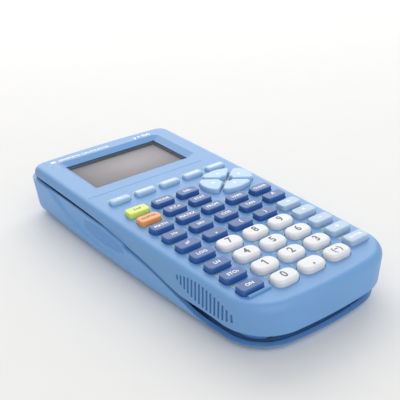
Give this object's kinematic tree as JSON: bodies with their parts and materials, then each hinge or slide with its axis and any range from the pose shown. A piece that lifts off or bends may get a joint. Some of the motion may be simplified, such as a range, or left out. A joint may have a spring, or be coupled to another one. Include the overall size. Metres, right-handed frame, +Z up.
{
  "type": "graphing calculator",
  "caption": "Handheld graphing calculator with a recessed display, sprung keys and an arrow pad, lying on its slide cover.",
  "frame": {"origin": "middle of the footprint box, on the surface that the slide cover rests on", "axes": "+Z up from the resting surface, +Y along the calculator towards its display end, +X to the right seen from above"},
  "size_m": [0.0866, 0.1862, 0.0279],
  "materials": {
    "case_blue": "fine satin",
    "rear_blue": "fine satin",
    "cover_blue": "fine satin",
    "door_blue": "fine satin",
    "window": "clear, polished",
    "lcd": "grey reflective",
    "board": "solder mask",
    "membrane": "matte",
    "cell": "printed sleeve",
    "screw": "zinc plated",
    "dark_key": "satin",
    "number_key": "satin",
    "operator_key": "satin",
    "function_key": "satin",
    "arrow_key": "satin",
    "second_key": "satin",
    "alpha_key": "satin"
  },
  "bodies": {
    "case": {"front_case": "case_blue", "rear_case": "rear_blue", "display_window": "window", "lcd_module": "lcd", "circuit_board": "board", "key_membrane": "membrane", "batteries": "cell", "case_screws": "screw"},
    "cover": {"slide_cover": "cover_blue"},
    "door": {"battery_door": "door_blue"},
    "key_0": {"key_0": "number_key"},
    "key_1": {"key_1": "number_key"},
    "key_2": {"key_2": "number_key"},
    "key_3": {"key_3": "number_key"},
    "key_4": {"key_4": "number_key"},
    "key_5": {"key_5": "number_key"},
    "key_6": {"key_6": "number_key"},
    "key_7": {"key_7": "number_key"},
    "key_8": {"key_8": "number_key"},
    "key_9": {"key_9": "number_key"},
    "key_alpha": {"key_alpha": "alpha_key"},
    "key_clear": {"key_clear": "dark_key"},
    "key_close_bracket": {"key_close_bracket": "dark_key"},
    "key_comma": {"key_comma": "dark_key"},
    "key_cos": {"key_cos": "dark_key"},
    "key_delete": {"key_delete": "dark_key"},
    "key_divide": {"key_divide": "operator_key"},
    "key_down": {"key_down": "arrow_key"},
    "key_enter": {"key_enter": "operator_key"},
    "key_graph": {"key_graph": "function_key"},
    "key_left": {"key_left": "arrow_key"},
    "key_ln": {"key_ln": "dark_key"},
    "key_log": {"key_log": "dark_key"},
    "key_math": {"key_math": "dark_key"},
    "key_matrix": {"key_matrix": "dark_key"},
    "key_minus": {"key_minus": "operator_key"},
    "key_mode": {"key_mode": "dark_key"},
    "key_multiply": {"key_multiply": "operator_key"},
    "key_negate": {"key_negate": "number_key"},
    "key_on": {"key_on": "dark_key"},
    "key_open_bracket": {"key_open_bracket": "dark_key"},
    "key_plus": {"key_plus": "operator_key"},
    "key_point": {"key_point": "number_key"},
    "key_power": {"key_power": "dark_key"},
    "key_program": {"key_program": "dark_key"},
    "key_reciprocal": {"key_reciprocal": "dark_key"},
    "key_right": {"key_right": "arrow_key"},
    "key_second": {"key_second": "second_key"},
    "key_sin": {"key_sin": "dark_key"},
    "key_square": {"key_square": "dark_key"},
    "key_statistics": {"key_statistics": "dark_key"},
    "key_store": {"key_store": "dark_key"},
    "key_tan": {"key_tan": "dark_key"},
    "key_trace": {"key_trace": "function_key"},
    "key_up": {"key_up": "arrow_key"},
    "key_variable": {"key_variable": "dark_key"},
    "key_variables": {"key_variables": "dark_key"},
    "key_window": {"key_window": "function_key"},
    "key_y_equals": {"key_y_equals": "function_key"},
    "key_zoom": {"key_zoom": "function_key"}
  },
  "joints": [
    {"name": "cover_slide", "type": "slide", "parent": "case", "child": "cover", "axis": [0, 1, 0], "range_m": [0, 0.07]},
    {"name": "door_slide", "type": "slide", "parent": "case", "child": "door", "axis": [0, 1, 0], "range_m": [0, 0.0025]},
    {"name": "0_press", "type": "slide", "parent": "case", "child": "key_0", "axis": [0, 0.025, -0.9997], "range_m": [0, 0.0008], "stiffness_N_per_m": 400, "springref_m": -0.0007, "deforming": ["key_membrane"]},
    {"name": "1_press", "type": "slide", "parent": "case", "child": "key_1", "axis": [0, 0.025, -0.9997], "range_m": [0, 0.0008], "stiffness_N_per_m": 400, "springref_m": -0.0007, "deforming": ["key_membrane"]},
    {"name": "2_press", "type": "slide", "parent": "case", "child": "key_2", "axis": [0, 0.025, -0.9997], "range_m": [0, 0.0008], "stiffness_N_per_m": 400, "springref_m": -0.0007, "deforming": ["key_membrane"]},
    {"name": "3_press", "type": "slide", "parent": "case", "child": "key_3", "axis": [0, 0.025, -0.9997], "range_m": [0, 0.0008], "stiffness_N_per_m": 400, "springref_m": -0.0007, "deforming": ["key_membrane"]},
    {"name": "4_press", "type": "slide", "parent": "case", "child": "key_4", "axis": [0, 0.025, -0.9997], "range_m": [0, 0.0008], "stiffness_N_per_m": 400, "springref_m": -0.0007, "deforming": ["key_membrane"]},
    {"name": "5_press", "type": "slide", "parent": "case", "child": "key_5", "axis": [0, 0.025, -0.9997], "range_m": [0, 0.0008], "stiffness_N_per_m": 400, "springref_m": -0.0007, "deforming": ["key_membrane"]},
    {"name": "6_press", "type": "slide", "parent": "case", "child": "key_6", "axis": [0, 0.025, -0.9997], "range_m": [0, 0.0008], "stiffness_N_per_m": 400, "springref_m": -0.0007, "deforming": ["key_membrane"]},
    {"name": "7_press", "type": "slide", "parent": "case", "child": "key_7", "axis": [0, 0.025, -0.9997], "range_m": [0, 0.0008], "stiffness_N_per_m": 400, "springref_m": -0.0007, "deforming": ["key_membrane"]},
    {"name": "8_press", "type": "slide", "parent": "case", "child": "key_8", "axis": [0, 0.025, -0.9997], "range_m": [0, 0.0008], "stiffness_N_per_m": 400, "springref_m": -0.0007, "deforming": ["key_membrane"]},
    {"name": "9_press", "type": "slide", "parent": "case", "child": "key_9", "axis": [0, 0.025, -0.9997], "range_m": [0, 0.0008], "stiffness_N_per_m": 400, "springref_m": -0.0007, "deforming": ["key_membrane"]},
    {"name": "alpha_press", "type": "slide", "parent": "case", "child": "key_alpha", "axis": [0, 0.025, -0.9997], "range_m": [0, 0.0008], "stiffness_N_per_m": 400, "springref_m": -0.0007, "deforming": ["key_membrane"]},
    {"name": "clear_press", "type": "slide", "parent": "case", "child": "key_clear", "axis": [0, 0.025, -0.9997], "range_m": [0, 0.0008], "stiffness_N_per_m": 400, "springref_m": -0.0007, "deforming": ["key_membrane"]},
    {"name": "close_bracket_press", "type": "slide", "parent": "case", "child": "key_close_bracket", "axis": [0, 0.025, -0.9997], "range_m": [0, 0.0008], "stiffness_N_per_m": 400, "springref_m": -0.0007, "deforming": ["key_membrane"]},
    {"name": "comma_press", "type": "slide", "parent": "case", "child": "key_comma", "axis": [0, 0.025, -0.9997], "range_m": [0, 0.0008], "stiffness_N_per_m": 400, "springref_m": -0.0007, "deforming": ["key_membrane"]},
    {"name": "cos_press", "type": "slide", "parent": "case", "child": "key_cos", "axis": [0, 0.025, -0.9997], "range_m": [0, 0.0008], "stiffness_N_per_m": 400, "springref_m": -0.0007, "deforming": ["key_membrane"]},
    {"name": "delete_press", "type": "slide", "parent": "case", "child": "key_delete", "axis": [0, 0.025, -0.9997], "range_m": [0, 0.0008], "stiffness_N_per_m": 400, "springref_m": -0.0007, "deforming": ["key_membrane"]},
    {"name": "divide_press", "type": "slide", "parent": "case", "child": "key_divide", "axis": [0, 0.025, -0.9997], "range_m": [0, 0.0008], "stiffness_N_per_m": 400, "springref_m": -0.0007, "deforming": ["key_membrane"]},
    {"name": "down_press", "type": "slide", "parent": "case", "child": "key_down", "axis": [0, 0.025, -0.9997], "range_m": [0, 0.0008], "stiffness_N_per_m": 400, "springref_m": -0.0007, "deforming": ["key_membrane"]},
    {"name": "enter_press", "type": "slide", "parent": "case", "child": "key_enter", "axis": [0, 0.025, -0.9997], "range_m": [0, 0.0008], "stiffness_N_per_m": 400, "springref_m": -0.0007, "deforming": ["key_membrane"]},
    {"name": "graph_press", "type": "slide", "parent": "case", "child": "key_graph", "axis": [0, 0.025, -0.9997], "range_m": [0, 0.0008], "stiffness_N_per_m": 400, "springref_m": -0.0007, "deforming": ["key_membrane"]},
    {"name": "left_press", "type": "slide", "parent": "case", "child": "key_left", "axis": [0, 0.025, -0.9997], "range_m": [0, 0.0008], "stiffness_N_per_m": 400, "springref_m": -0.0007, "deforming": ["key_membrane"]},
    {"name": "ln_press", "type": "slide", "parent": "case", "child": "key_ln", "axis": [0, 0.025, -0.9997], "range_m": [0, 0.0008], "stiffness_N_per_m": 400, "springref_m": -0.0007, "deforming": ["key_membrane"]},
    {"name": "log_press", "type": "slide", "parent": "case", "child": "key_log", "axis": [0, 0.025, -0.9997], "range_m": [0, 0.0008], "stiffness_N_per_m": 400, "springref_m": -0.0007, "deforming": ["key_membrane"]},
    {"name": "math_press", "type": "slide", "parent": "case", "child": "key_math", "axis": [0, 0.025, -0.9997], "range_m": [0, 0.0008], "stiffness_N_per_m": 400, "springref_m": -0.0007, "deforming": ["key_membrane"]},
    {"name": "matrix_press", "type": "slide", "parent": "case", "child": "key_matrix", "axis": [0, 0.025, -0.9997], "range_m": [0, 0.0008], "stiffness_N_per_m": 400, "springref_m": -0.0007, "deforming": ["key_membrane"]},
    {"name": "minus_press", "type": "slide", "parent": "case", "child": "key_minus", "axis": [0, 0.025, -0.9997], "range_m": [0, 0.0008], "stiffness_N_per_m": 400, "springref_m": -0.0007, "deforming": ["key_membrane"]},
    {"name": "mode_press", "type": "slide", "parent": "case", "child": "key_mode", "axis": [0, 0.025, -0.9997], "range_m": [0, 0.0008], "stiffness_N_per_m": 400, "springref_m": -0.0007, "deforming": ["key_membrane"]},
    {"name": "multiply_press", "type": "slide", "parent": "case", "child": "key_multiply", "axis": [0, 0.025, -0.9997], "range_m": [0, 0.0008], "stiffness_N_per_m": 400, "springref_m": -0.0007, "deforming": ["key_membrane"]},
    {"name": "negate_press", "type": "slide", "parent": "case", "child": "key_negate", "axis": [0, 0.025, -0.9997], "range_m": [0, 0.0008], "stiffness_N_per_m": 400, "springref_m": -0.0007, "deforming": ["key_membrane"]},
    {"name": "on_press", "type": "slide", "parent": "case", "child": "key_on", "axis": [0, 0.025, -0.9997], "range_m": [0, 0.0008], "stiffness_N_per_m": 400, "springref_m": -0.0007, "deforming": ["key_membrane"]},
    {"name": "open_bracket_press", "type": "slide", "parent": "case", "child": "key_open_bracket", "axis": [0, 0.025, -0.9997], "range_m": [0, 0.0008], "stiffness_N_per_m": 400, "springref_m": -0.0007, "deforming": ["key_membrane"]},
    {"name": "plus_press", "type": "slide", "parent": "case", "child": "key_plus", "axis": [0, 0.025, -0.9997], "range_m": [0, 0.0008], "stiffness_N_per_m": 400, "springref_m": -0.0007, "deforming": ["key_membrane"]},
    {"name": "point_press", "type": "slide", "parent": "case", "child": "key_point", "axis": [0, 0.025, -0.9997], "range_m": [0, 0.0008], "stiffness_N_per_m": 400, "springref_m": -0.0007, "deforming": ["key_membrane"]},
    {"name": "power_press", "type": "slide", "parent": "case", "child": "key_power", "axis": [0, 0.025, -0.9997], "range_m": [0, 0.0008], "stiffness_N_per_m": 400, "springref_m": -0.0007, "deforming": ["key_membrane"]},
    {"name": "program_press", "type": "slide", "parent": "case", "child": "key_program", "axis": [0, 0.025, -0.9997], "range_m": [0, 0.0008], "stiffness_N_per_m": 400, "springref_m": -0.0007, "deforming": ["key_membrane"]},
    {"name": "reciprocal_press", "type": "slide", "parent": "case", "child": "key_reciprocal", "axis": [0, 0.025, -0.9997], "range_m": [0, 0.0008], "stiffness_N_per_m": 400, "springref_m": -0.0007, "deforming": ["key_membrane"]},
    {"name": "right_press", "type": "slide", "parent": "case", "child": "key_right", "axis": [0, 0.025, -0.9997], "range_m": [0, 0.0008], "stiffness_N_per_m": 400, "springref_m": -0.0007, "deforming": ["key_membrane"]},
    {"name": "second_press", "type": "slide", "parent": "case", "child": "key_second", "axis": [0, 0.025, -0.9997], "range_m": [0, 0.0008], "stiffness_N_per_m": 400, "springref_m": -0.0007, "deforming": ["key_membrane"]},
    {"name": "sin_press", "type": "slide", "parent": "case", "child": "key_sin", "axis": [0, 0.025, -0.9997], "range_m": [0, 0.0008], "stiffness_N_per_m": 400, "springref_m": -0.0007, "deforming": ["key_membrane"]},
    {"name": "square_press", "type": "slide", "parent": "case", "child": "key_square", "axis": [0, 0.025, -0.9997], "range_m": [0, 0.0008], "stiffness_N_per_m": 400, "springref_m": -0.0007, "deforming": ["key_membrane"]},
    {"name": "statistics_press", "type": "slide", "parent": "case", "child": "key_statistics", "axis": [0, 0.025, -0.9997], "range_m": [0, 0.0008], "stiffness_N_per_m": 400, "springref_m": -0.0007, "deforming": ["key_membrane"]},
    {"name": "store_press", "type": "slide", "parent": "case", "child": "key_store", "axis": [0, 0.025, -0.9997], "range_m": [0, 0.0008], "stiffness_N_per_m": 400, "springref_m": -0.0007, "deforming": ["key_membrane"]},
    {"name": "tan_press", "type": "slide", "parent": "case", "child": "key_tan", "axis": [0, 0.025, -0.9997], "range_m": [0, 0.0008], "stiffness_N_per_m": 400, "springref_m": -0.0007, "deforming": ["key_membrane"]},
    {"name": "trace_press", "type": "slide", "parent": "case", "child": "key_trace", "axis": [0, 0.025, -0.9997], "range_m": [0, 0.0008], "stiffness_N_per_m": 400, "springref_m": -0.0007, "deforming": ["key_membrane"]},
    {"name": "up_press", "type": "slide", "parent": "case", "child": "key_up", "axis": [0, 0.025, -0.9997], "range_m": [0, 0.0008], "stiffness_N_per_m": 400, "springref_m": -0.0007, "deforming": ["key_membrane"]},
    {"name": "variable_press", "type": "slide", "parent": "case", "child": "key_variable", "axis": [0, 0.025, -0.9997], "range_m": [0, 0.0008], "stiffness_N_per_m": 400, "springref_m": -0.0007, "deforming": ["key_membrane"]},
    {"name": "variables_press", "type": "slide", "parent": "case", "child": "key_variables", "axis": [0, 0.025, -0.9997], "range_m": [0, 0.0008], "stiffness_N_per_m": 400, "springref_m": -0.0007, "deforming": ["key_membrane"]},
    {"name": "window_press", "type": "slide", "parent": "case", "child": "key_window", "axis": [0, 0.025, -0.9997], "range_m": [0, 0.0008], "stiffness_N_per_m": 400, "springref_m": -0.0007, "deforming": ["key_membrane"]},
    {"name": "y_equals_press", "type": "slide", "parent": "case", "child": "key_y_equals", "axis": [0, 0.025, -0.9997], "range_m": [0, 0.0008], "stiffness_N_per_m": 400, "springref_m": -0.0007, "deforming": ["key_membrane"]},
    {"name": "zoom_press", "type": "slide", "parent": "case", "child": "key_zoom", "axis": [0, 0.025, -0.9997], "range_m": [0, 0.0008], "stiffness_N_per_m": 400, "springref_m": -0.0007, "deforming": ["key_membrane"]}
  ]
}
